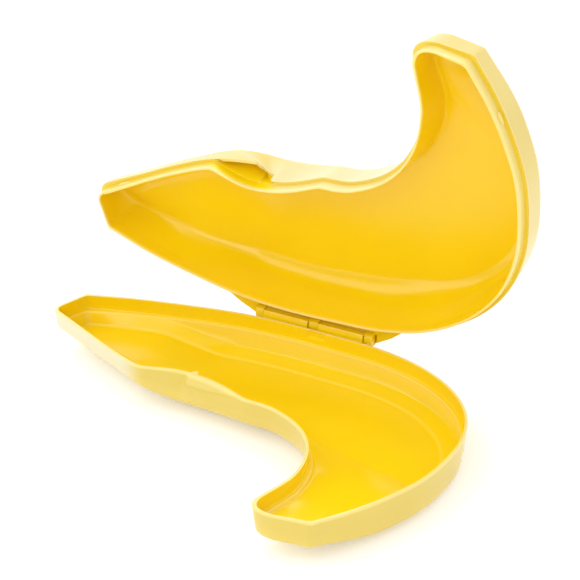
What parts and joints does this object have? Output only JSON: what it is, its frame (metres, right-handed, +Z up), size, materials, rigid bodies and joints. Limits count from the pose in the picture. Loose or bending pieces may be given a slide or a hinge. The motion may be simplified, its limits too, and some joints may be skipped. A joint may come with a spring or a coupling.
{
  "type": "banana carrying case",
  "caption": "Crescent-shaped hinged plastic case with a shallow tray and a domed lid that snaps shut around one banana, with a thumb tab and dent on the inner curve.",
  "frame": {"origin": "on the foot, under the middle of the tray's long arm, at the surface the case stands on", "axes": "+X along the hinge from the tip of the crescent towards its bend, +Y back towards the hinge, +Z up; the lid stands open behind the tray"},
  "size_m": [0.1912, 0.1556, 0.1521],
  "materials": {
    "yellow_plastic": "satin moulded polypropylene, slightly translucent"
  },
  "bodies": {
    "base": {"base_shell": "yellow_plastic", "catch_nib": "yellow_plastic", "hinge_hook_left": "yellow_plastic", "hinge_hook_right": "yellow_plastic"},
    "lid": {"lid_shell": "yellow_plastic", "lid_skirt": "yellow_plastic", "thumb_tab": "yellow_plastic", "snap_beads": "yellow_plastic", "hinge_wing_left": "yellow_plastic", "hinge_wing_right": "yellow_plastic", "hinge_rib": "yellow_plastic", "hinge_bar": "yellow_plastic"}
  },
  "joints": [
    {"name": "lid_hinge", "type": "hinge", "parent": "base", "child": "lid", "pos_m": [0.0055, 0.035, 0.0185], "axis": [-1, 0, 0], "range_deg": [-90, 77]}
  ]
}
